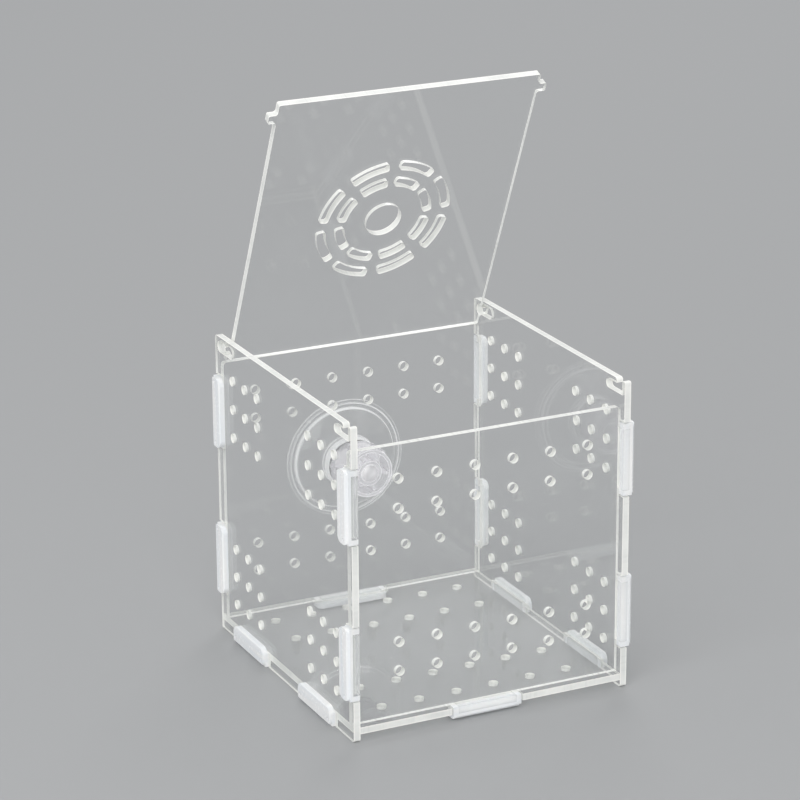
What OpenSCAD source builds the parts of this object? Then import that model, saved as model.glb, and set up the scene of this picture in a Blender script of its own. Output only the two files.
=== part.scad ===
// Fish breeding box: a flat-pack box of clear laser-cut sheet, clipped together at
// every joint, with a hinged vented lid and a suction cup that hangs it on tank glass.
// +X right, +Y towards the glass, +Z up. The floor plane is Z = 0.

/* [Box] */
// Clear width between the two side panels
inner_w = 100; // [90:1:130]
// Depth of the side panels, front edge to back edge
box_d = 112.4; // [106:0.2:140]
// Height of the side panels
box_h = 112; // [105:1:140]
// Thickness of the clear sheet that every panel is cut from
sheet_t = 2.5; // [2.2:0.1:2.7]
// How far the floor, front and back panels stand in from the edges of the side panels
inset = 2.6; // [2.4:0.1:3.2]
// How far the front and back panels stop below the top of the side panels
end_drop = 9.4; // [9.2:0.1:16]
// Play between panels that meet, edge to face
panel_play = 0.05; // [0:0.01:0.1]
// Corner radius of the side panels' lower and rear corners
side_corner_r = 0.8; // [0.4:0.1:2]
// Corner radius of the front and back panels' top corners
end_corner_r = 1.2; // [0.5:0.1:4]

/* [Vent holes] */
// Diameter of the small vent holes
vent_d = 3.4; // [2:0.1:4]
// Spacing of the six vent columns across the floor, front and back panels
col_pitch = 14.3; // [11:0.1:15]
// Spacing of the two rows in each pair on the front and back panels
end_row_pitch = 10.6; // [6:0.1:14]
// Height between the two row pairs on the front and back panels
end_pair_gap = 58.5; // [48:0.5:62]
// How far the vent field stands off the panel's centre line
vent_shift = 2; // [0:0.1:3]
// Spacing of the two rows in each pair on the floor panel
floor_row_pitch = 18; // [10:0.5:20]
// Distance between the two row pairs on the floor panel
floor_pair_gap = 66; // [60:0.5:68]
// Spacing of the holes in the three by three groups on the side panels
side_pitch = 10.6; // [7:0.1:11]
// Distance between the centres of those groups, both ways
side_group_gap = 63.6; // [56:0.2:66]

/* [Lid] */
// Depth of the shut lid's middle plane below the top of the side panels
lid_drop = 3.4; // [3.2:0.1:5]
// Play between the lid and each side panel
lid_side_gap = 0.8; // [0.5:0.05:1.2]
// Distance from the side panels' back edges to the middle of the hinge lugs
hinge_inset = 6.8; // [6:0.1:9]
// Length of lid beyond the lugs at the front and at the rear
lid_tail = 5.7; // [4.8:0.1:5.8]
// Width of a lug along the lid's edge
lug_w = 3.2; // [2.4:0.1:3.3]
// How far a lug stands out from the lid's edge
lug_out = 3.1; // [2:0.1:3.2]
// Fillet radius where a lug meets the lid's edge
lug_fillet = 1; // [0.4:0.1:1.2]
// Angle the lid stands open at
lid_open = 65.4; // [0:0.2:90]
// Diameter of the feeding hole in the middle of the lid
feed_d = 13.4; // [8:0.2:20]
// Mean radius of the outer ring of curved slots
slot_ring_outer = 23.6; // [22:0.1:34]
// Mean radius of the inner ring of curved slots
slot_ring_inner = 16.5; // [13.5:0.1:17.5]
// Width of a curved slot
ring_slot_w = 3.4; // [2:0.1:4]
// Angle from end to end of a curved slot
ring_slot_sweep = 34.5; // [28:0.5:38]
// Corner radius of a curved slot's ends
ring_slot_corner_r = 1; // [0.4:0.1:1]
// Number of curved slots in a ring
ring_slots = 8; // [6:1:8]

/* [Lid seats] */
// Height of the hinge slot near the back of each side panel
hinge_slot_h = 4.3; // [4.2:0.05:4.8]
// Length of the hinge slot
hinge_slot_l = 13.2; // [10:0.2:16]
// How far the hinge lugs can slide back in their slots
lug_travel = 3.2; // [2:0.1:3.4]
// Thickness of the post in front of the latch notch
post_t = 1.6; // [1.2:0.1:2]
// Width of the latch notch's mouth
mouth_w = 4; // [3.8:0.1:5]
// Corner radius of the hook's tip
hook_tip_r = 1; // [0.4:0.1:1.2]
// Length of the channel that runs back under the hook, from the hook's tip
channel_l = 7.2; // [4:0.1:9]
// Play above and below a lug in the latch channel
channel_play = 0.4; // [0.2:0.05:0.6]

/* [Clips] */
// Length of a clip
clip_len = 26; // [20:1:28]
// Play at each end of a clip in its notch
clip_play = 0.6; // [0.1:0.1:1]
// Play between a clip's lip and the face it lies on
grip_play = 0.03; // [0:0.01:0.1]
// Width of a clip's lip
clip_w = 7; // [6.6:0.1:9]
// Thickness of the lip
lip_t = 2; // [1.2:0.1:2.4]
// Corner radius of the lip at its free edge
clip_corner_r = 3; // [1:0.1:3.4]
// Corner radius of the lip at the panel's edge
clip_edge_r = 2.2; // [0.5:0.1:3]
// Bevel along the lip's outer edge
clip_bevel = 1; // [0.3:0.1:1.2]
// Thickness of a clip's two legs, one at each end of the tab that it holds
leg_t = 1.8; // [1.2:0.1:3]
// Play of a tab in its notch and in its clip
tab_play = 0.05; // [0.02:0.01:0.15]
// Diameter of the pit near each end of the lip
pit_d = 1.2; // [0.6:0.1:1.6]
// Distance between the two clips of a pair, as a share of the length of their edge
clip_share = 0.5; // [0.44:0.01:0.5]
// How far the floor's front and back clips stand off the centre line
clip_shift = -1.8; // [-4:0.1:4]

/* [Suction cup] */
// How far the cup hangs off the box's centre line
cup_x = 0; // [-6:0.5:6]
// Diameter of the suction cup's rim
cup_d = 44; // [36:0.5:50]
// Distance from the back panel to the rim of the cup
cup_depth = 8.2; // [7:0.1:12]
// Width of the thin lip round the bowl
cup_lip_w = 3.6; // [2.5:0.1:5]
// Thickness of that lip
cup_lip_t = 0.8; // [0.6:0.1:1.2]
// Thickness of the bowl where it meets the lip
cup_wall = 1.5; // [1.2:0.1:2]
// Distance of the raised bead on the lip from the rim
cup_bead_in = 1.3; // [0.8:0.1:2]
// Diameter of the collar that sits on the back panel
collar_d = 18.4; // [16:0.2:22]
// Thickness of that collar
collar_t = 2.6; // [2.4:0.1:3.4]
// Diameter of the stud
stud_d = 6.6; // [5:0.1:7.4]
// Play of the stud in the back panel and in the knob
stud_play = 0.08; // [0.04:0.02:0.3]
// Diameter of the thumb knob over its wall
knob_d = 18; // [16:0.2:24]
// Length of the thumb knob along the stud
knob_l = 10; // [7:0.1:12]
// Number of grip ribs round the knob
knob_ribs = 6; // [4:1:8]
// Angle the knob is turned to
knob_turn = 10; // [0:1:60]

/* [Hidden] */
$fn = 64;
over = 0.5;                                    // overlap of a cutter beyond the face it cuts

outer_x = inner_w / 2 + sheet_t;               // outer face of a side panel
overall_d = box_d - inset + cup_depth;         // front edges to the rim of the cup
front_y = -overall_d / 2;                      // front edge of the side panels
mid_y = front_y + box_d / 2;                   // middle of the side panels
end_w = inner_w - 2 * panel_play;              // width of the floor, front and back panels
end_bottom = inset + sheet_t + panel_play;     // bottom of the front and back panels
end_top = box_h - end_drop;                    // top of the front and back panels
back_y = front_y + box_d - inset;              // outer face of the back panel
upright_offsets = [-0.5, 0.5] * clip_share * box_h;
sill_offsets = [-0.5, 0.5] * clip_share * box_d;

lid_z = box_h - lid_drop;                      // middle plane of the shut lid
latch_y = front_y + post_t + mouth_w / 2;      // front lugs, lid shut
hinge_y = front_y + box_d - hinge_inset;       // hinge lugs
lug_span = hinge_y - latch_y;
lid_w = inner_w - 2 * lid_side_gap;
lid_l = lug_span + 2 * lid_tail;
lug_tip_r = 0.5;
lid_corner_r = 0.6;
post_corner_r = 0.6;                           // front top corner of a side panel

cup_z = box_h / 2;
cup_r = cup_d / 2;
stud_r = stud_d / 2;
stud_head_r = collar_d / 2 - 2.2;              // the collar's side wall is 2.2 thick
stud_head_t = 1.4;
stud_skin = 1;                                 // soft skin between the stud's head and the panel
stud_dome = 1.2;                               // height of the stud's domed tip
stud_tip = 1;                                  // how far that tip stands out of the knob
stud_end_y = back_y - sheet_t - knob_l - stud_tip;

// ---------- sheet outlines ----------

// Rectangle from the origin with its four corner radii, lower left first, anticlockwise
module sheet_outline(w, h, r) {
    difference() {
        square([w, h]);
        for (c = [[0, 0, r[0], 0], [w, 0, r[1], 90], [w, h, r[2], 180], [0, h, r[3], 270]])
            if (c[2] > 0)
                translate([c[0], c[1]]) rotate(c[3]) difference() {
                    translate([-over, -over]) square(c[2] + over);
                    translate([c[2], c[2]]) circle(c[2]);
                }
    }
}

// Notch for a tab and its clip, cut into the edge along local X
module tab_notch() {
    translate([-clip_len / 2 - clip_play, -over])
        square([clip_len + 2 * clip_play, inset + sheet_t + tab_play + over]);
}

// Tab on the edge along local X, as long as the next panel is thick
module edge_tab() {
    tab_l = clip_len - 2 * (leg_t + tab_play);
    translate([-tab_l / 2, -sheet_t - panel_play])
        square([tab_l, sheet_t + panel_play + over]);
}

// Rows of holes at the given places along Y, six columns across X
module vent_rows(rows) {
    for (y = rows, i = [-2.5:2.5]) translate([i * col_pitch, y]) circle(d = vent_d);
}

// Offsets of the four rows made of two pairs
function pair_rows(pitch, gap) = [for (s = [-1, 1], k = [-1, 1]) s * gap / 2 + k * pitch / 2];

// ---------- side panels ----------

// Latch notch: an open mouth, then a channel that runs back under a hook
module latch_notch() {
    channel_h = sheet_t + 2 * channel_play;
    channel_bottom = lid_z - channel_h / 2;
    hook_y = post_t + mouth_w;
    translate([post_t, channel_bottom]) square([mouth_w, box_h - channel_bottom + over]);
    translate([post_t, channel_bottom])
        square([mouth_w + channel_l - channel_h / 2, channel_h]);
    translate([hook_y + channel_l - channel_h / 2, lid_z]) circle(d = channel_h);
    difference() {
        translate([hook_y - over, box_h - hook_tip_r]) square(hook_tip_r + over);
        translate([hook_y + hook_tip_r, box_h - hook_tip_r]) circle(hook_tip_r);
    }
}

// Round-ended slot that a hinge lug turns and slides in
module hinge_slot() {
    back_end = box_d - hinge_inset + lug_w / 2 + lug_travel - hinge_slot_h / 2;
    front_end = back_end - hinge_slot_l + hinge_slot_h;
    translate([front_end, lid_z - hinge_slot_h / 2])
        square([back_end - front_end, hinge_slot_h]);
    for (y = [front_end, back_end]) translate([y, lid_z]) circle(d = hinge_slot_h);
}

// Side panel in its own plane: X is the box's depth from the front edge, Y is height
module side_sheet() {
    difference() {
        sheet_outline(box_d, box_h, [side_corner_r, side_corner_r, side_corner_r, post_corner_r]);
        latch_notch();
        hinge_slot();
        for (y = sill_offsets) translate([box_d / 2 + y, 0]) tab_notch();
        for (z = upright_offsets) {
            translate([0, box_h / 2 + z]) rotate(-90) tab_notch();
            translate([box_d, box_h / 2 + z]) rotate(90) tab_notch();
        }
        for (gy = [-1, 1], gz = [-1, 1], i = [-1:1], k = [-1:1])
            translate([box_d / 2 + gy * side_group_gap / 2 + i * side_pitch,
                       box_h / 2 + gz * side_group_gap / 2 + k * side_pitch])
                circle(d = vent_d);
    }
}

module side_panel(x) {
    color("azure", 0.4) translate([x, front_y, 0]) rotate([90, 0, 90])
        linear_extrude(sheet_t) side_sheet();
}

// ---------- front, back and floor panels ----------

// Front or back panel in its own plane: X across, Y up from its bottom edge
module end_sheet(vent_x, clip_x) {
    mid_h = box_h / 2 - end_bottom;
    difference() {
        translate([-end_w / 2, 0])
            sheet_outline(end_w, end_top - end_bottom, [0, 0, end_corner_r, end_corner_r]);
        translate([vent_x, mid_h]) vent_rows(pair_rows(end_row_pitch, end_pair_gap));
    }
    translate([clip_x, 0]) edge_tab();
    for (z = upright_offsets) {
        translate([-end_w / 2, mid_h + z]) rotate(-90) edge_tab();
        translate([end_w / 2, mid_h + z]) rotate(90) edge_tab();
    }
}

module front_panel() {
    color("azure", 0.4) translate([0, front_y + inset + sheet_t, end_bottom]) rotate([90, 0, 0])
        linear_extrude(sheet_t) end_sheet(vent_shift, clip_shift);
}

module back_panel() {
    color("azure", 0.4) difference() {
        translate([0, back_y, end_bottom]) rotate([90, 0, 0])
            linear_extrude(sheet_t) end_sheet(-vent_shift, clip_shift);
        translate([cup_x, back_y + over, cup_z]) rotate([90, 0, 0])
            cylinder(r = stud_r + stud_play, h = sheet_t + 2 * over);
    }
}

module floor_sheet() {
    difference() {
        translate([-end_w / 2, 0]) square([end_w, box_d]);
        translate([0, box_d / 2]) vent_rows(pair_rows(floor_row_pitch, floor_pair_gap));
        translate([clip_shift, 0]) tab_notch();
        translate([clip_shift, box_d]) rotate(180) tab_notch();
    }
    for (y = sill_offsets) {
        translate([-end_w / 2, box_d / 2 + y]) rotate(-90) edge_tab();
        translate([end_w / 2, box_d / 2 + y]) rotate(90) edge_tab();
    }
}

module floor_panel() {
    color("azure", 0.4) translate([0, front_y, inset]) linear_extrude(sheet_t) floor_sheet();
}

// ---------- lid ----------

// One lug on the lid's right edge, with a fillet on each side
module lug() {
    translate([-over, -lug_w / 2]) square([lug_out - lug_tip_r + over, lug_w]);
    translate([0, -lug_w / 2 + lug_tip_r]) square([lug_out, lug_w - 2 * lug_tip_r]);
    for (s = [-1, 1]) {
        translate([lug_out - lug_tip_r, s * (lug_w / 2 - lug_tip_r)]) circle(lug_tip_r);
        translate([0, s * lug_w / 2]) mirror([0, s < 0 ? 1 : 0]) difference() {
            translate([-over, -over]) square([lug_fillet + over, lug_fillet + over]);
            translate([lug_fillet, lug_fillet]) circle(lug_fillet);
        }
    }
}

// Cutter for a curved slot centred on local +X: a bent middle and two straight rounded ends
module ring_slot(r) {
    depth = sheet_t + 2 * over;
    end_l = 2 * ring_slot_corner_r;
    half = ring_slot_sweep / 2 - asin(end_l / r);
    rotate(-half) rotate_extrude(angle = 2 * half)
        translate([r - ring_slot_w / 2, 0]) square([ring_slot_w, depth]);
    for (s = [0, 1]) mirror([0, s, 0]) rotate(half) translate([r - ring_slot_w / 2, 0, 0])
        linear_extrude(depth)
            sheet_outline(ring_slot_w, end_l, [0, 0, ring_slot_corner_r, ring_slot_corner_r]);
}

// Lid lying flat, hinge lugs on local Y = 0 and its front edge at -Y
module lid_flat() {
    translate([0, 0, -sheet_t / 2]) difference() {
        linear_extrude(sheet_t) {
            translate([-lid_w / 2, -lug_span - lid_tail])
                sheet_outline(lid_w, lid_l, [for (i = [0:3]) lid_corner_r]);
            for (y = [-lug_span, 0], side = [0, 1])
                mirror([side, 0]) translate([lid_w / 2, y]) lug();
        }
        translate([0, -lug_span / 2, -over]) {
            cylinder(d = feed_d, h = sheet_t + 2 * over);
            for (i = [0:ring_slots - 1]) rotate((i + 0.5) * 360 / ring_slots) {
                ring_slot(slot_ring_outer);
                ring_slot(slot_ring_inner);
            }
        }
    }
}

module lid() {
    color("azure", 0.4) translate([0, hinge_y, lid_z]) rotate([-lid_open, 0, 0]) lid_flat();
}

// ---------- clips ----------

// Clip in its own frame: the notched panel has its edge on Y = 0, its outer face on Z = 0 and
// its inner face on Z = sheet_t; the clip runs along X. Its web closes the mouth of the notch,
// its legs stand at the two ends of the tab, and its lip covers them and the tab's end.
module clip_shape() {
    under = -grip_play - lip_t;
    free_bevel = 0.4;
    pit_in = 1.6;                              // a pit's middle from the clip's end
    pit_y = 2.6;                               // a pit's middle from the panel's edge
    pit_depth = 0.8;
    difference() {
        union() {
            intersection() {
                rotate([90, 0, 90]) translate([0, 0, -clip_len / 2]) linear_extrude(clip_len)
                    polygon([[0, under + clip_bevel], [clip_bevel, under],
                             [clip_w - free_bevel, under], [clip_w, under + free_bevel],
                             [clip_w, -grip_play], [0, -grip_play]]);
                translate([-clip_len / 2, 0, under - over]) linear_extrude(over - under)
                    sheet_outline(clip_len, clip_w,
                                  [clip_edge_r, clip_edge_r, clip_corner_r, clip_corner_r]);
            }
            translate([-clip_len / 2, 0, under / 2])
                cube([clip_len, inset - tab_play, sheet_t - under / 2]);
            for (x = [-clip_len / 2, clip_len / 2 - leg_t]) translate([x, 0, -over])
                cube([leg_t, inset + sheet_t, sheet_t + over]);
        }
        for (s = [-1, 1]) translate([s * (clip_len / 2 - pit_in), pit_y, under - over])
            cylinder(d = pit_d, h = pit_depth + over);
    }
}

// Clip on the front (s = -1) or back (s = 1) edge of a side panel (side = -1 left, 1 right)
module upright_clip(side, s, dz) {
    color("whitesmoke") translate([side * outer_x, mid_y + s * box_d / 2, box_h / 2 + dz])
        mirror([side > 0 ? 1 : 0, 0, 0]) mirror([0, s > 0 ? 1 : 0, 0])
        rotate([90, 0, 90]) rotate([0, 0, 90]) mirror([0, 1, 0]) clip_shape();
}

// Clip on the bottom edge of a side panel
module sill_clip(side, dy) {
    color("whitesmoke") translate([side * outer_x, mid_y + dy, 0])
        mirror([side > 0 ? 1 : 0, 0, 0]) rotate([90, 0, 90]) clip_shape();
}

// Clip on the front (s = -1) or back (s = 1) edge of the floor panel
module floor_clip(s) {
    color("whitesmoke") translate([clip_shift, mid_y + s * box_d / 2, inset])
        mirror([0, s > 0 ? 1 : 0, 0]) clip_shape();
}

// ---------- suction cup ----------

// Turns a shape revolved about Z, growing away from the tank, onto the cup's axis at depth y
module on_cup_axis(y) {
    translate([cup_x, y, cup_z]) rotate([-90, 0, 0]) children();
}

// Half section of the soft cup: radius across, distance behind the back panel up. A collar
// with rounded edges, a bowl that thins outwards, then a step down to a thin lip with a bead.
module cup_section() {
    steps = 8;
    edge = 0.4;
    bead_r = 0.35;
    collar_r = collar_d / 2;
    bowl_r = cup_r - cup_lip_w;
    neck_z = collar_t + edge;
    lip_z = cup_depth - cup_lip_t;
    bowl_z = lip_z - cup_wall + edge;
    hollow_z = neck_z + cup_wall;
    translate([cup_r - cup_bead_in, lip_z]) circle(bead_r, $fn = 24);
    difference() {
        polygon([[0, 0], [collar_r - edge, 0], [collar_r, edge], [collar_r, collar_t - edge],
                 for (k = [0:steps]) [collar_r + edge + (bowl_r - collar_r - edge) * k / steps,
                                      neck_z + (bowl_z - neck_z) * pow(k / steps, 1.5)],
                 [bowl_r + edge, lip_z], [cup_r - edge / 2, lip_z + edge / 2],
                 [cup_r, cup_depth - edge / 2], [cup_r - edge / 2, cup_depth],
                 [bowl_r + 2 * edge, cup_depth],
                 for (k = [steps:-1:0]) [bowl_r * k / steps,
                                         hollow_z + (lip_z + edge - hollow_z) * pow(k / steps, 2)]]);
        translate([-over, -over]) square([stud_r + over, stud_skin + 2 * over]);
        translate([-over, stud_skin]) square([stud_head_r + over, stud_head_t]);
    }
}

module suction_cup() {
    color("gainsboro", 0.6) on_cup_axis(back_y) rotate_extrude() cup_section();
}

// Stud: a flat head held in the cup, a shank through the panel and knob, and a domed tip
module cup_stud() {
    color("lavender", 0.6) {
        on_cup_axis(back_y + stud_skin) cylinder(r = stud_head_r, h = stud_head_t);
        on_cup_axis(stud_end_y) rotate_extrude() stud_shank();
    }
}

// Half section of the stud's shank, domed tip first
module stud_shank() {
    l = back_y + stud_skin + stud_head_t / 2 - stud_end_y;
    sphere_r = (stud_r * stud_r + stud_dome * stud_dome) / (2 * stud_dome);
    intersection() {
        square([stud_r, l]);
        translate([0, sphere_r]) circle(sphere_r, $fn = 96);
    }
    translate([0, stud_dome]) square([stud_r, l - stud_dome]);
}

// Thumb knob, open towards the inside of the box: a hub and an outer wall joined by a web
// against the panel and by thin ribs, with round grip ribs down the outside of the wall
module cup_knob() {
    wall = 1.3;
    web = 2;
    rib_w = 1;
    rib_drop = 1.5;                            // the inner ribs stop this far below the open end
    grip_r = 0.9;
    grip_out = 0.7;                            // how far a grip rib stands out of the wall
    hub_r = stud_r + 1.4;
    knob_r = knob_d / 2;
    color("lavender", 0.6) on_cup_axis(back_y - sheet_t - knob_l) difference() {
        union() {
            difference() {
                cylinder(r = knob_r, h = knob_l);
                translate([0, 0, -over]) cylinder(r = knob_r - wall, h = knob_l - web + over);
            }
            cylinder(r = hub_r, h = knob_l);
            for (i = [0:knob_ribs - 1]) rotate(i * 360 / knob_ribs + knob_turn) {
                translate([hub_r - over, -rib_w / 2, rib_drop])
                    cube([knob_r - wall - hub_r + 2 * over, rib_w, knob_l - rib_drop - over]);
                translate([knob_r + grip_out - grip_r, 0, grip_out])
                    cylinder(r = grip_r, h = knob_l - 2 * grip_out, $fn = 24);
            }
        }
        translate([0, 0, -over]) cylinder(r = stud_r + stud_play, h = knob_l + 2 * over);
    }
}

// ---------- nodes ----------

side_panel(-outer_x);  // left_panel
side_panel(inner_w / 2);  // right_panel
front_panel();
back_panel();
floor_panel();
lid();
upright_clip(-1, -1, upright_offsets[0]);  // clip_left_front_lower
upright_clip(-1, -1, upright_offsets[1]);  // clip_left_front_upper
upright_clip(-1, 1, upright_offsets[0]);  // clip_left_back_lower
upright_clip(-1, 1, upright_offsets[1]);  // clip_left_back_upper
upright_clip(1, -1, upright_offsets[0]);  // clip_right_front_lower
upright_clip(1, -1, upright_offsets[1]);  // clip_right_front_upper
upright_clip(1, 1, upright_offsets[0]);  // clip_right_back_lower
upright_clip(1, 1, upright_offsets[1]);  // clip_right_back_upper
sill_clip(-1, sill_offsets[0]);  // clip_floor_left_front
sill_clip(-1, sill_offsets[1]);  // clip_floor_left_back
sill_clip(1, sill_offsets[0]);  // clip_floor_right_front
sill_clip(1, sill_offsets[1]);  // clip_floor_right_back
floor_clip(-1);  // clip_floor_front
floor_clip(1);  // clip_floor_back
suction_cup();
cup_stud();
cup_knob();
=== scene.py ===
"""Looks of a clear fish breeding box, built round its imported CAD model. Lengths in metres."""

import math

import bpy
import bmesh
from mathutils import Matrix, Vector


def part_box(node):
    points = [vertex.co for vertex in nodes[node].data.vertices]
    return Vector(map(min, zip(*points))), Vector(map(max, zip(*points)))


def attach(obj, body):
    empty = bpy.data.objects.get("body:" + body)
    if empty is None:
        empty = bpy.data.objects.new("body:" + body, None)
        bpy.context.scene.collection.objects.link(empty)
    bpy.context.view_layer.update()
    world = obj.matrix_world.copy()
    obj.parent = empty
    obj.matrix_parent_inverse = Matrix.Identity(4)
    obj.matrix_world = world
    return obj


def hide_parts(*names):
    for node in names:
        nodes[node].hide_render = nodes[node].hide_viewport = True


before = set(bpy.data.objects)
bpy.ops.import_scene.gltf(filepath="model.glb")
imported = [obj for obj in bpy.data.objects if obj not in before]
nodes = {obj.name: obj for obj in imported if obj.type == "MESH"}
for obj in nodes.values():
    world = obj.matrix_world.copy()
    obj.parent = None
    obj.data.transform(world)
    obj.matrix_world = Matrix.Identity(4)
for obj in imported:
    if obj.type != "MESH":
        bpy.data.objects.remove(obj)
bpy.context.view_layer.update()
MM = 0.001


# ---------- camera: the photograph's viewpoint, in the part's frame ----------

CAMERA_AT = Vector((-0.4760, -0.9685, 0.4662))
CAMERA_AZIMUTH = math.radians(64.105)
CAMERA_ELEVATION = math.radians(-18.955)
CAMERA_ROLL = math.radians(-0.355)
FOCAL_PX = 3275.4
PHOTO_PX = 800
SENSOR_MM = 36.0


def add_camera():
    ahead = Vector((
        math.cos(CAMERA_AZIMUTH) * math.cos(CAMERA_ELEVATION),
        math.sin(CAMERA_AZIMUTH) * math.cos(CAMERA_ELEVATION),
        math.sin(CAMERA_ELEVATION),
    ))
    level_right = ahead.cross(Vector((0, 0, 1))).normalized()
    level_up = level_right.cross(ahead)
    right = math.cos(CAMERA_ROLL) * level_right + math.sin(CAMERA_ROLL) * level_up
    up = right.cross(ahead)
    data = bpy.data.cameras.new("photo_camera")
    data.sensor_width = SENSOR_MM
    data.lens = FOCAL_PX / PHOTO_PX * SENSOR_MM
    data.clip_start = 0.01
    camera = bpy.data.objects.new("photo_camera", data)
    turn = Matrix((right, up, -ahead)).transposed()
    camera.matrix_world = Matrix.Translation(CAMERA_AT) @ turn.to_4x4()
    bpy.context.scene.collection.objects.link(camera)
    bpy.context.scene.camera = camera


# ---------- sizes and places ----------

# panels
SHEET_T = 2.5 * MM
LID_OPEN = math.radians(65.4)
SHEET_AXES = {
    "left_panel": Vector((1, 0, 0)),
    "right_panel": Vector((1, 0, 0)),
    "front_panel": Vector((0, 1, 0)),
    "back_panel": Vector((0, 1, 0)),
    "floor_panel": Vector((0, 0, 1)),
    "lid": Vector((0, math.sin(LID_OPEN), math.cos(LID_OPEN))),
}
FACE_COSINE = 0.999  # least cosine between a flat face's normal and its axis

# suction cup
CUP_LOW, CUP_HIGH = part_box("suction_cup")
CUP_X = (CUP_LOW.x + CUP_HIGH.x) / 2
CUP_Z = (CUP_LOW.z + CUP_HIGH.z) / 2
CUP_R = (CUP_HIGH.x - CUP_LOW.x) / 2
CUP_DEPTH = CUP_HIGH.y - CUP_LOW.y
PANEL_BACK_Y = CUP_LOW.y
COLLAR_R = 9.2 * MM
COLLAR_T = 2.6 * MM
CUP_WALL = 1.5 * MM
LIP_W = 3.6 * MM
LIP_T = 0.8 * MM
BEAD_IN = 1.3 * MM
BEAD_R = 0.35 * MM
CUP_EDGE_R = 0.4 * MM
BOWL_OUTSIDE_CURVE = 1.5  # power of the bowl's rise outside, from its collar to its lip
BOWL_INSIDE_CURVE = 2  # and inside, from its middle to its lip
NUB_R = 0.55 * MM
NUB_ANGLE = math.radians(129)

# stud
STUD_LOW, STUD_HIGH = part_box("cup_stud")
STUD_HEAD_R = (STUD_HIGH.x - STUD_LOW.x) / 2
STUD_R = 3.3 * MM
STUD_SKIN = 1.0 * MM  # soft skin between the stud's head and the panel
STUD_HEAD_T = STUD_HIGH.y - PANEL_BACK_Y - STUD_SKIN
STUD_DOME = 1.2 * MM
HEAD_CHAMFER = 0.2 * MM
POCKET_PLAY = 0.04 * MM
THREAD_PITCH = 1.5 * MM
THREAD_DEPTH = 0.35 * MM
THREAD_LEAD = 1.5 * MM  # length over which the thread fades at each end

# knob
KNOB_R = 9.0 * MM
KNOB_WALL = 1.3 * MM
HUB_WALL = 1.4 * MM

# mesh fineness
CUP_SEGMENTS = 128
STUD_SEGMENTS = 64
BOWL_STEPS = 24
SHARP_ANGLE = math.radians(40)  # corners sharper than this stay crisp
DOME_STEPS = 10
THREAD_ROWS = 8  # for each turn of the thread


# ---------- node helpers ----------

# noise mostly stays between these
NOISE_LOW = 0.3
NOISE_HIGH = 0.7

# places of the colour sockets on a Mix node
MIX_FACTOR = 0
MIX_A = 6
MIX_B = 7
MIX_RESULT = 2


def new_material(name):
    material = bpy.data.materials.new(name)
    material.use_nodes = True
    material.node_tree.nodes.clear()
    return material, material.node_tree


def add_node(tree, kind, **inputs):
    """A new node; inputs are given by socket name with _ for spaces, as values or sockets."""
    node = tree.nodes.new(kind)
    for key, value in inputs.items():
        set_input(tree, node, key.replace("_", " "), value)
    return node


def set_input(tree, node, name, value):
    """Links or sets one input of node; name is the socket's name or its place."""
    socket = node.inputs[name]
    if isinstance(value, bpy.types.NodeSocket):
        tree.links.new(value, socket)
    else:
        socket.default_value = value


def math_node(tree, operation, a, b=0.0):
    node = tree.nodes.new("ShaderNodeMath")
    node.operation = operation
    set_input(tree, node, 0, a)
    set_input(tree, node, 1, b)
    return node.outputs[0]


def vector_node(tree, operation, *vectors):
    node = tree.nodes.new("ShaderNodeVectorMath")
    node.operation = operation
    for index, vector in enumerate(vectors):
        set_input(tree, node, index, vector)
    return node


def object_coords(tree):
    return tree.nodes.new("ShaderNodeTexCoord").outputs["Object"]


def noise(tree, vector, scale, detail=3.0):
    """Noise with about scale bumps a metre."""
    node = add_node(tree, "ShaderNodeTexNoise", Vector=vector, Scale=scale, Detail=detail)
    return node.outputs["Fac"]


def spread(tree, fac, low, high):
    """The noise fac mapped to low..high."""
    node = add_node(tree, "ShaderNodeMapRange", Value=fac, From_Min=NOISE_LOW,
                    From_Max=NOISE_HIGH, To_Min=low, To_Max=high)
    return node.outputs["Result"]


def colour_between(tree, fac, dark, light):
    """Colour from dark to light as the noise fac rises."""
    ramp = tree.nodes.new("ShaderNodeValToRGB")
    ramp.color_ramp.elements[0].position = NOISE_LOW
    ramp.color_ramp.elements[0].color = (*dark, 1)
    ramp.color_ramp.elements[1].position = NOISE_HIGH
    ramp.color_ramp.elements[1].color = (*light, 1)
    set_input(tree, ramp, "Fac", fac)
    return ramp.outputs["Color"]


def grey_ramp(tree, fac, stops):
    """Grey ramp through two stops of (place, level)."""
    node = add_node(tree, "ShaderNodeValToRGB", Fac=fac)
    for element, (place, level) in zip(node.color_ramp.elements, stops):
        element.position = place
        element.color = (level, level, level, 1)
    return node.outputs["Color"]


def mix_colours(tree, fac, a, b):
    """Colour a where fac is 0 and b where it is 1; b is a fixed colour."""
    node = tree.nodes.new("ShaderNodeMix")
    node.data_type = "RGBA"
    set_input(tree, node, MIX_FACTOR, fac)
    set_input(tree, node, MIX_A, a)
    set_input(tree, node, MIX_B, (*b, 1))
    return node.outputs[MIX_RESULT]


def bump(tree, height, strength, distance):
    node = add_node(tree, "ShaderNodeBump", Height=height, Strength=strength, Distance=distance)
    return node.outputs["Normal"]


def mix_shaders(tree, fac, a, b):
    node = tree.nodes.new("ShaderNodeMixShader")
    set_input(tree, node, 0, fac)
    tree.links.new(a, node.inputs[1])
    tree.links.new(b, node.inputs[2])
    return node.outputs[0]


def finish_material(tree, shader):
    output = tree.nodes.new("ShaderNodeOutputMaterial")
    tree.links.new(shader, output.inputs["Surface"])


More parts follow.
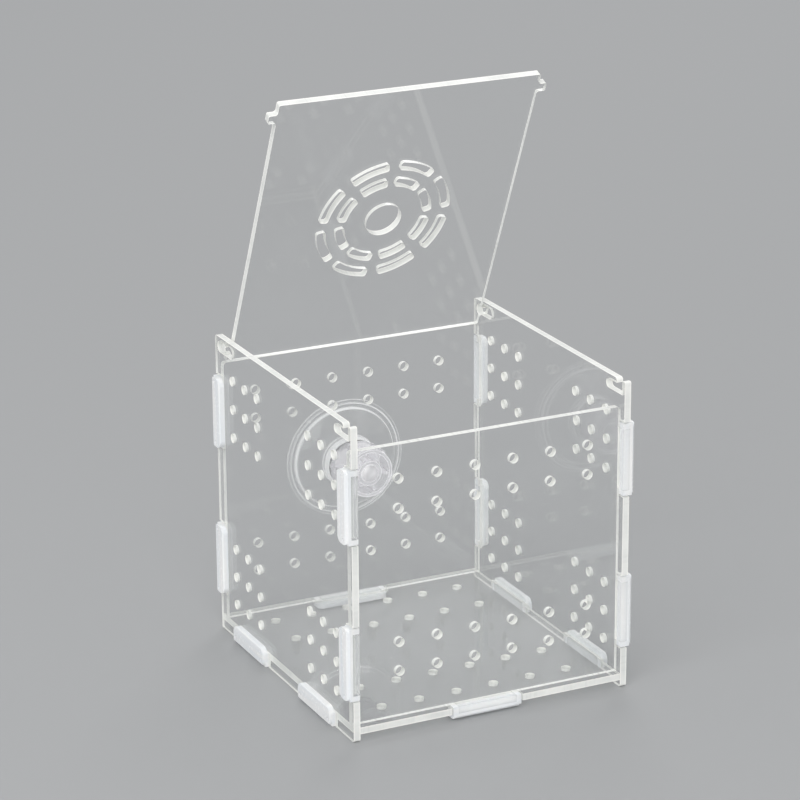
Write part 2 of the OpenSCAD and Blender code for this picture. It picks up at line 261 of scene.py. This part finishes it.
def let_light_through(tree, shader, tint):
    """shader as it is seen, and a tinted clear one for light on its way to a matt surface, so that
    glass casts a pale shadow and what stands behind it is lit."""
    path = tree.nodes.new("ShaderNodeLightPath")
    clear = add_node(tree, "ShaderNodeBsdfTransparent", Color=(*tint, 1)).outputs[0]
    seen = mix_shaders(tree, path.outputs["Is Diffuse Ray"], shader, clear)
    return mix_shaders(tree, path.outputs["Is Shadow Ray"], seen, clear)


# ---------- materials of the panels ----------

ACRYLIC_IOR = 1.49
SHEET_TINT = (0.988, 0.991, 0.99)
SHEET_PASSES = (0.975, 0.978, 0.977)  # light that one face of a sheet lets through
EDGE_GREY = (0.76, 0.772, 0.748)
EDGE_PALE = (0.91, 0.912, 0.88)
# painted highlight: the near-white colour of the line by each face of a cut edge
EDGE_PAINTED_HIGHLIGHT = (0.99, 0.98, 0.94)
PAINTED_HIGHLIGHT_STOPS = ((0.55, 0.0), (0.92, 1.0))  # share of the half thickness, share of painted highlight
EDGE_GLOW = 0.15  # share of light that comes from behind


def clear_sheet():
    """Polished faces of the cast sheet: clear, with faint wiping marks and a slight wave."""
    material, tree = new_material("clear_sheet")
    place = object_coords(tree)
    marks = noise(tree, place, scale=35.0, detail=6.0)
    wave = noise(tree, place, scale=14.0, detail=1.0)
    face = add_node(tree, "ShaderNodeBsdfPrincipled", Base_Color=(*SHEET_TINT, 1),
                    Transmission_Weight=1.0, IOR=ACRYLIC_IOR,
                    Roughness=spread(tree, marks, low=0.0, high=0.035),
                    Normal=bump(tree, wave, strength=0.05, distance=0.4 * MM))
    finish_material(tree, let_light_through(tree, face.outputs[0], SHEET_PASSES))
    return material


def cut_edge(name, axis, low):
    """Laser-cut edges of one panel: creamy and bright, with fine lines across the thickness, a
    greyer middle and a painted highlight line by each face. low is the panel's lowest place along
    axis."""
    material, tree = new_material(name)
    place = object_coords(tree)
    along = vector_node(tree, "DOT_PRODUCT", place, axis).outputs["Value"]
    depth = vector_node(tree, "SCALE", axis)
    set_input(tree, depth, "Scale", along)
    flat = vector_node(tree, "SUBTRACT", place, depth.outputs["Vector"]).outputs["Vector"]
    lines = noise(tree, flat, scale=1400.0, detail=2.0)
    patches = noise(tree, place, scale=90.0)
    from_middle = math_node(tree, "SUBTRACT", along, low + SHEET_T / 2)
    from_middle = math_node(tree, "DIVIDE", math_node(tree, "ABSOLUTE", from_middle), SHEET_T / 2)
    # painted highlight: a near-white line painted along each face of the sheet
    painted_highlight = grey_ramp(tree, from_middle, PAINTED_HIGHLIGHT_STOPS)
    middle = colour_between(tree, patches, EDGE_GREY, EDGE_PALE)
    colour = mix_colours(tree, painted_highlight, middle, EDGE_PAINTED_HIGHLIGHT)
    normal = bump(tree, lines, strength=0.35, distance=0.06 * MM)
    solid = add_node(tree, "ShaderNodeBsdfPrincipled", Base_Color=colour, IOR=ACRYLIC_IOR,
                     Roughness=spread(tree, lines, low=0.22, high=0.42), Normal=normal)
    glow = add_node(tree, "ShaderNodeBsdfTranslucent", Color=colour, Normal=normal)
    finish_material(tree, mix_shaders(tree, EDGE_GLOW, solid.outputs[0], glow.outputs[0]))
    return material


def dress_panels(face_material):
    for name, axis in SHEET_AXES.items():
        mesh = nodes[name].data
        low = min(vertex.co.dot(axis) for vertex in mesh.vertices)
        mesh.materials.clear()
        mesh.materials.append(face_material)
        mesh.materials.append(cut_edge(f"cut_edge_{name}", axis, low))
        for polygon in mesh.polygons:
            polygon.material_index = 0 if abs(polygon.normal.dot(axis)) > FACE_COSINE else 1


# ---------- material of the clips ----------

CLIP_IOR = 1.5
CLIP_BLUISH = (0.90, 0.925, 0.95)
CLIP_WHITE = (0.995, 0.99, 0.98)
CLIP_GLOW = 0.3  # share of light that comes from behind
BAND_STRETCH = 0.06  # of the flow bands' noise, along the clip
WEB_TINT = (0.97, 0.975, 0.98)
WEB_PASSES = (0.965, 0.97, 0.967)
LIP_SHARE = 0.452  # of a clip's depth
LEG_SHARE = 0.07  # of a clip's length, at each end

# each kind of clip: length axis, depth axis, whether its lip is at the low end, and how white its
# web looks: partly its milk, and painted light, whiter where its own lip stands behind it as the
# camera sees it
CLIP_KINDS = {
    "clip_left": (2, 0, True, 0.22),
    "clip_right": (2, 0, False, 0.75),
    "clip_floor_left": (1, 0, True, 0.22),
    "clip_floor_right": (1, 0, False, 0.6),
    "clip_floor_front": (0, 2, True, 0.7),
    "clip_floor_back": (0, 2, True, 0.7),
}


def milky_clip(name, length_axis, depth_axis, lip_low, web_milk_and_painted_light):
    """Moulded clips: a milky white lip and legs, with faint bluish flow bands along the clip, and
    a clearer web between the legs. Axes are 0, 1, 2 for x, y, z; lip_low tells whether the lip is
    at the low end of depth_axis; web_milk_and_painted_light is the share of white in the web,
    partly the plastic's milk and partly painted light standing in for the lip seen behind it."""
    material, tree = new_material(name)
    place = object_coords(tree)
    stretch = [1.0, 1.0, 1.0]
    stretch[length_axis] = BAND_STRETCH
    along = vector_node(tree, "MULTIPLY", place, stretch).outputs["Vector"]
    bands = noise(tree, along, scale=520.0, detail=2.0)
    grain = noise(tree, place, scale=900.0)
    colour = colour_between(tree, bands, CLIP_BLUISH, CLIP_WHITE)
    normal = bump(tree, grain, strength=0.10, distance=0.05 * MM)
    solid = add_node(tree, "ShaderNodeBsdfPrincipled", Base_Color=colour, IOR=CLIP_IOR,
                     Roughness=spread(tree, grain, low=0.18, high=0.30), Normal=normal)
    glow = add_node(tree, "ShaderNodeBsdfTranslucent", Color=colour, Normal=normal)
    milky = mix_shaders(tree, CLIP_GLOW, solid.outputs[0], glow.outputs[0])
    glass = add_node(tree, "ShaderNodeBsdfPrincipled", Base_Color=(*WEB_TINT, 1), IOR=CLIP_IOR,
                     Transmission_Weight=1.0, Roughness=spread(tree, grain, low=0.04, high=0.12))
    # painted light: the web takes more white where, from the camera, its own lip stands behind it
    web = mix_shaders(tree, web_milk_and_painted_light, glass.outputs[0], milky)
    web = let_light_through(tree, web, WEB_PASSES)
    share = web_share(tree, length_axis, depth_axis, lip_low)
    finish_material(tree, mix_shaders(tree, share, milky, web))
    return material


def web_share(tree, length_axis, depth_axis, lip_low):
    """1 on a clip's web and 0 on its lip and legs, from the place within the clip's own box."""
    inside = tree.nodes.new("ShaderNodeTexCoord").outputs["Generated"]
    split = add_node(tree, "ShaderNodeSeparateXYZ", Vector=inside).outputs
    depth = split[depth_axis] if lip_low else math_node(tree, "SUBTRACT", 1.0, split[depth_axis])
    beyond_lip = math_node(tree, "GREATER_THAN", depth, LIP_SHARE)
    off_middle = math_node(tree, "ABSOLUTE", math_node(tree, "SUBTRACT", split[length_axis], 0.5))
    between_legs = math_node(tree, "LESS_THAN", off_middle, 0.5 - LEG_SHARE)
    return math_node(tree, "MULTIPLY", beyond_lip, between_legs)


def dress_clips():
    materials = {}
    for name, node in nodes.items():
        for prefix, kind in CLIP_KINDS.items():
            if not name.startswith(prefix):
                continue
            if kind not in materials:
                materials[kind] = milky_clip(f"milky_{prefix}", *kind)
            node.data.materials.clear()
            node.data.materials.append(materials[kind])


# ---------- materials of the cup, stud and knob ----------

VINYL_IOR = 1.52
MOULDING_IOR = 1.57
VINYL_TINT = (0.99, 0.992, 0.993)
VINYL_MILK = (0.99, 0.99, 0.99)
MOULDING_TINT = (0.985, 0.982, 0.988)
MOULDING_MILK = (0.96, 0.95, 0.975)
# whiter milk of the painted brighter copy of the plastic
MOULDING_PAINTED_BRIGHT_MILK = (0.99, 0.982, 0.995)
MILK_GLOW = 0.3  # share of light that comes from behind
RING_CORE = 0.4  # share of a painted highlight ring's half width that has its full level
TURN_BLEND = 0.35  # with TURN_POWER, how soon the painted rim milk shows as a face turns away
TURN_POWER = 2.0


def painted_highlight_ring(tree, place, radius, width, most):
    """The value most on a circle about the cup's axis, falling to 0 at width from it: the mask of
    a painted highlight ring.
    """
    centre = vector_node(tree, "SUBTRACT", place, (CUP_X, 0, CUP_Z)).outputs["Vector"]
    flat = vector_node(tree, "MULTIPLY", centre, (1, 0, 1)).outputs["Vector"]
    away = vector_node(tree, "LENGTH", flat).outputs["Value"]
    off = math_node(tree, "ABSOLUTE", math_node(tree, "SUBTRACT", away, radius))
    return add_node(tree, "ShaderNodeMapRange", Value=off, From_Min=RING_CORE * width,
                    From_Max=width, To_Min=most, To_Max=0.0).outputs["Result"]


def clear_plastic(name, tint, milk, ior, grain_scale, face_milk, painted_rim_milk, rings=()):
    """Clear moulded plastic: clear where it is seen face on, with painted light where it turns
    away, white milk mixed in that stands in for light gathered in the plastic; the milk is still
    lit by the lamps.
    face_milk and painted_rim_milk are the shares of milk at those two places. rings holds circles
    about the cup's axis where painted highlights lie on the corners: radius, half width of the
    line, milk."""
    material, tree = new_material(name)
    place = object_coords(tree)
    haze = noise(tree, place, grain_scale)
    normal = bump(tree, haze, strength=0.06, distance=0.2 * MM)
    glass = add_node(tree, "ShaderNodeBsdfPrincipled", Base_Color=(*tint, 1),
                     Transmission_Weight=1.0, IOR=ior,
                     Roughness=spread(tree, haze, low=0.01, high=0.06), Normal=normal)
    scatter = add_node(tree, "ShaderNodeBsdfDiffuse", Color=(*milk, 1), Normal=normal)
    through = add_node(tree, "ShaderNodeBsdfTranslucent", Color=(*milk, 1), Normal=normal)
    milky = mix_shaders(tree, MILK_GLOW, scatter.outputs[0], through.outputs[0])
    # painted light: more milk is mixed in as the face turns away from the camera
    turned = add_node(tree, "ShaderNodeLayerWeight", Blend=TURN_BLEND).outputs["Facing"]
    turned = math_node(tree, "POWER", turned, TURN_POWER)
    share = add_node(tree, "ShaderNodeMapRange", Value=turned, To_Min=face_milk,
                     To_Max=painted_rim_milk).outputs["Result"]
    # painted highlights: milk raised along rings about the cup's axis where corners would shine
    for ring in rings:
        share = math_node(tree, "MAXIMUM", share, painted_highlight_ring(tree, place, *ring))
    seen = mix_shaders(tree, share, glass.outputs[0], milky)
    finish_material(tree, let_light_through(tree, seen, tint))
    return material


def soft_vinyl():
    """Soft vinyl of the cup, with painted highlight rings at its collar, round its stud's head,
    and at its rims.
    """
    # painted highlight rings: radius, half width of the line, milk
    rings = [(COLLAR_R - 0.1 * MM, 0.4 * MM, 0.9),
             (STUD_HEAD_R, 0.3 * MM, 0.9),
             (CUP_R - LIP_W + CUP_EDGE_R, 0.42 * MM, 1.0),
             (CUP_R - BEAD_IN, 0.32 * MM, 0.7),
             (CUP_R, 0.3 * MM, 0.5)]
    return clear_plastic("soft_vinyl", VINYL_TINT, VINYL_MILK, VINYL_IOR, grain_scale=160.0,
                         face_milk=0.0, painted_rim_milk=0.45, rings=rings)


def clear_moulding():
    """Hard clear moulded plastic of the knob and stud: a faint violet grey."""
    return clear_plastic("clear_moulding", MOULDING_TINT, MOULDING_MILK, MOULDING_IOR,
                         grain_scale=200.0, face_milk=0.10, painted_rim_milk=0.72)


def moulding_painted_bright():
    """End faces of the knob's walls and ribs, and the stud's tip: a whiter copy of the plastic as
    painted light, with painted highlight rings along the corners.
    """
    level = 0.95
    corners = [KNOB_R - KNOB_WALL, STUD_R + HUB_WALL, STUD_R]
    rings = [(KNOB_R, 0.5 * MM, level)] + [(corner, 0.35 * MM, level) for corner in corners]
    return clear_plastic("moulding_painted_bright", MOULDING_TINT, MOULDING_PAINTED_BRIGHT_MILK, MOULDING_IOR,
                         grain_scale=200.0, face_milk=0.34, painted_rim_milk=0.92, rings=rings)


def dress_knob(body, edge):
    """The knob: its faces towards the inside of the box get a brighter copy of its plastic,
    painted light.
    """
    mesh = nodes["cup_knob"].data
    mesh.materials.clear()
    mesh.materials.append(body)
    mesh.materials.append(edge)
    for polygon in mesh.polygons:
        # faces towards the inside of the box take the painted brighter copy of the plastic
        polygon.material_index = 1 if polygon.normal.y < -FACE_COSINE else 0


# ---------- meshes about the cup's axis ----------

def arc(centre, radius, start, end, steps=6):
    """Points of an arc, centre (across, along), angles in degrees from the across axis."""
    points = []
    for k in range(steps + 1):
        angle = math.radians(start + (end - start) * k / steps)
        points.append((centre[0] + radius * math.cos(angle), centre[1] + radius * math.sin(angle)))
    return points


def add_ring(mesh, y, radii):
    """Vertices evenly spread about the cup's axis, one for each of radii; a single radius of 0
    gives a point on the axis."""
    ring = []
    for k, radius in enumerate(radii):
        angle = 2 * math.pi * k / len(radii)
        ring.append(mesh.verts.new((CUP_X + radius * math.cos(angle), y,
                                    CUP_Z + radius * math.sin(angle))))
    return ring


def bridge(mesh, a, b):
    """Faces between two rings, either of which may be a single point."""
    if len(a) == 1 and len(b) == 1:
        return
    count = max(len(a), len(b))
    for k in range(count):
        j = (k + 1) % count
        if len(a) == 1:
            mesh.faces.new((a[0], b[j], b[k]))
        elif len(b) == 1:
            mesh.faces.new((a[k], a[j], b[0]))
        else:
            mesh.faces.new((a[k], a[j], b[j], b[k]))


def smooth_object(name, mesh):
    """Object made from mesh, smooth but for corners sharper than SHARP_ANGLE."""
    data = bpy.data.meshes.new(name)
    mesh.to_mesh(data)
    mesh.free()
    data.polygons.foreach_set("use_smooth", [True] * len(data.polygons))
    data.set_sharp_from_angle(angle=SHARP_ANGLE)
    piece = bpy.data.objects.new(name, data)
    bpy.context.scene.collection.objects.link(piece)
    return piece


def lathe(name, profile, start_y):
    """Closed surface of revolution about the cup's axis. profile holds (radius, distance along +Y)
    and its first and last points are on the axis or meet each other."""
    mesh = bmesh.new()
    rings = []
    for radius, along in profile:
        count = CUP_SEGMENTS if radius > 0 else 1
        rings.append(add_ring(mesh, start_y + along, [radius] * count))
    for a, b in zip(rings, rings[1:]):
        bridge(mesh, a, b)
    if len(rings[0]) > 1 and len(rings[-1]) > 1:
        bridge(mesh, rings[-1], rings[0])
    bmesh.ops.recalc_face_normals(mesh, faces=mesh.faces)
    return smooth_object(name, mesh)


# ---------- the suction cup ----------

def cup_profile():
    """Outside of the soft cup from its collar to the middle of its bowl, then the pocket that
    holds the stud's head."""
    edge = CUP_EDGE_R
    bowl_r = CUP_R - LIP_W
    neck = COLLAR_T + edge
    lip = CUP_DEPTH - LIP_T
    bowl = lip - CUP_WALL + edge
    hollow = neck + CUP_WALL
    hole = STUD_R + POCKET_PLAY
    points = [(hole, 0.0)]
    points += arc((COLLAR_R - edge, edge), edge, -90, 0)
    points += arc((COLLAR_R - edge, COLLAR_T - edge), edge, 0, 60, 4)
    start_r = COLLAR_R + edge
    for k in range(BOWL_STEPS + 1):
        t = k / BOWL_STEPS
        points.append((start_r + (bowl_r - start_r) * t,
                       neck + (bowl - neck) * t ** BOWL_OUTSIDE_CURVE))
    points += [(bowl_r + edge, lip - edge), (bowl_r + 1.5 * edge, lip)]
    points += [(r, lip - up) for r, up in arc((CUP_R - BEAD_IN, 0), BEAD_R, 180, 0, 8)]
    points += arc((CUP_R - edge / 2, lip + edge / 2), edge / 2, -90, 0, 4)
    points += arc((CUP_R - edge / 2, CUP_DEPTH - edge / 2), edge / 2, 0, 90, 4)
    points.append((bowl_r + 2 * edge, CUP_DEPTH))
    for k in range(BOWL_STEPS, -1, -1):
        t = k / BOWL_STEPS
        points.append((bowl_r * t, hollow + (lip + edge - hollow) * t ** BOWL_INSIDE_CURVE))
    pocket_r = STUD_HEAD_R + POCKET_PLAY
    pocket_end = STUD_SKIN + STUD_HEAD_T + POCKET_PLAY
    pocket_start = STUD_SKIN - POCKET_PLAY
    points += [(0.0, pocket_end), (pocket_r, pocket_end), (pocket_r, pocket_start),
               (hole, pocket_start)]
    return points


def add_cup(material):
    cup = lathe("soft_suction_cup", cup_profile(), PANEL_BACK_Y)
    cup.data.materials.append(material)
    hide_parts("suction_cup")
    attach(cup, "box")
    add_gate_mark(material)


def add_gate_mark(material):
    """The small nub that the mould's gate leaves on the cup's bead."""
    mesh = bmesh.new()
    bmesh.ops.create_uvsphere(mesh, u_segments=24, v_segments=16, radius=NUB_R)
    around = CUP_R - BEAD_IN
    at = Vector((CUP_X + around * math.cos(NUB_ANGLE), PANEL_BACK_Y + CUP_DEPTH - LIP_T - BEAD_R,
                 CUP_Z + around * math.sin(NUB_ANGLE)))
    bmesh.ops.translate(mesh, verts=mesh.verts, vec=at)
    nub = smooth_object("cup_gate_mark", mesh)
    nub.data.materials.append(material)
    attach(nub, "box")


# ---------- the stud ----------

def stud_radii(along, head_from):
    """Radii round the stud at a distance along it from its tip: the dome, then a thread that
    fades in after the dome and out before the head."""
    full = STUD_R
    if along < STUD_DOME:
        sphere_r = (STUD_R ** 2 + STUD_DOME ** 2) / (2 * STUD_DOME)
        full = math.sqrt(sphere_r ** 2 - (sphere_r - along) ** 2)
    fade = min(1.0, max(0.0, (along - STUD_DOME) / THREAD_LEAD),
               max(0.0, (head_from - along) / THREAD_LEAD))
    radii = []
    for k in range(STUD_SEGMENTS):
        phase = (along / THREAD_PITCH - k / STUD_SEGMENTS) % 1.0
        radii.append(full - THREAD_DEPTH * fade * (0.5 + 0.5 * math.cos(2 * math.pi * phase)))
    return radii


def add_stud(material, tip_material):
    """Stud with a moulded thread from its domed tip to near its head."""
    length = STUD_HIGH.y - STUD_LOW.y
    head_from = length - STUD_HEAD_T
    stations = [STUD_DOME * (k / DOME_STEPS) ** 2 for k in range(1, DOME_STEPS + 1)]
    rows = int((head_from - STUD_DOME) / THREAD_PITCH * THREAD_ROWS)
    stations += [STUD_DOME + (head_from - STUD_DOME) * (k + 1) / rows for k in range(rows)]
    head = [(STUD_HEAD_R - HEAD_CHAMFER, head_from), (STUD_HEAD_R, head_from + HEAD_CHAMFER),
            (STUD_HEAD_R, length - HEAD_CHAMFER), (STUD_HEAD_R - HEAD_CHAMFER, length)]
    mesh = bmesh.new()
    rings = [add_ring(mesh, STUD_LOW.y, [0.0])]
    for along in stations:
        rings.append(add_ring(mesh, STUD_LOW.y + along, stud_radii(along, head_from)))
    for radius, along in head:
        rings.append(add_ring(mesh, STUD_LOW.y + along, [radius] * STUD_SEGMENTS))
    rings.append(add_ring(mesh, STUD_HIGH.y, [0.0]))
    for a, b in zip(rings, rings[1:]):
        bridge(mesh, a, b)
    bmesh.ops.recalc_face_normals(mesh, faces=mesh.faces)
    stud = smooth_object("threaded_stud", mesh)
    stud.data.materials.append(material)
    stud.data.materials.append(tip_material)
    for polygon in stud.data.polygons:
        # the domed tip takes the painted brighter copy of the plastic
        polygon.material_index = 1 if polygon.center.y < STUD_LOW.y + STUD_DOME else 0
    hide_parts("cup_stud")
    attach(stud, "box")


# ---------- studio ----------

FLOOR_COLOUR = (0.375, 0.38, 0.385)
FLOOR_HALF = 6.0
FLOOR_DROP = 0.2 * MM
AIM = (0, 0, 0.1)
KEY_AT = (-1.2, -1.25, 1.0)
KEY_SIZE = 2.6
KEY_WATTS = 36
BACK_AT = (0.9, 1.3, 1.6)
BACK_SIZE = 1.0
BACK_WATTS = 10
SKY_COLOUR = (0.985, 0.99, 1.0)
SKY_STRENGTH = 0.7


def add_floor():
    half = FLOOR_HALF
    mesh = bpy.data.meshes.new("studio_floor")
    mesh.from_pydata([(-half, -half, 0), (half, -half, 0), (half, half, 0), (-half, half, 0)],
                     [], [(0, 1, 2, 3)])
    floor = bpy.data.objects.new("studio_floor", mesh)
    floor.location.z = -FLOOR_DROP
    bpy.context.scene.collection.objects.link(floor)
    material, tree = new_material("floor_paint")
    paint = add_node(tree, "ShaderNodeBsdfDiffuse", Color=(*FLOOR_COLOUR, 1))
    finish_material(tree, paint.outputs[0])
    mesh.materials.append(material)


def area_light(name, at, size, watts):
    data = bpy.data.lights.new(name, "AREA")
    data.shape = "DISK"
    data.size = size
    data.energy = watts
    lamp = bpy.data.objects.new(name, data)
    lamp.location = at
    lamp.rotation_euler = (Vector(AIM) - Vector(at)).to_track_quat("-Z", "Y").to_euler()
    bpy.context.scene.collection.objects.link(lamp)


def add_lights():
    area_light("key_lamp", KEY_AT, KEY_SIZE, KEY_WATTS)
    area_light("back_lamp", BACK_AT, BACK_SIZE, BACK_WATTS)
    world = bpy.data.worlds.new("studio_world")
    world.use_nodes = True
    back = world.node_tree.nodes["Background"]
    back.inputs["Color"].default_value = (*SKY_COLOUR, 1)
    back.inputs["Strength"].default_value = SKY_STRENGTH
    bpy.context.scene.world = world


def set_render_look():
    """Standard view, and enough bounces to see through all the clear sheets."""
    scene = bpy.context.scene
    scene.view_settings.view_transform = "Standard"
    scene.cycles.use_denoising = True
    scene.cycles.max_bounces = 24
    scene.cycles.transmission_bounces = 24
    scene.cycles.transparent_max_bounces = 48
    scene.cycles.caustics_reflective = False
    scene.cycles.caustics_refractive = False


add_camera()
dress_panels(clear_sheet())
dress_clips()
moulding = clear_moulding()
painted_bright_moulding = moulding_painted_bright()
dress_knob(moulding, painted_bright_moulding)
add_cup(soft_vinyl())
add_stud(moulding, painted_bright_moulding)
add_floor()
add_lights()
set_render_look()
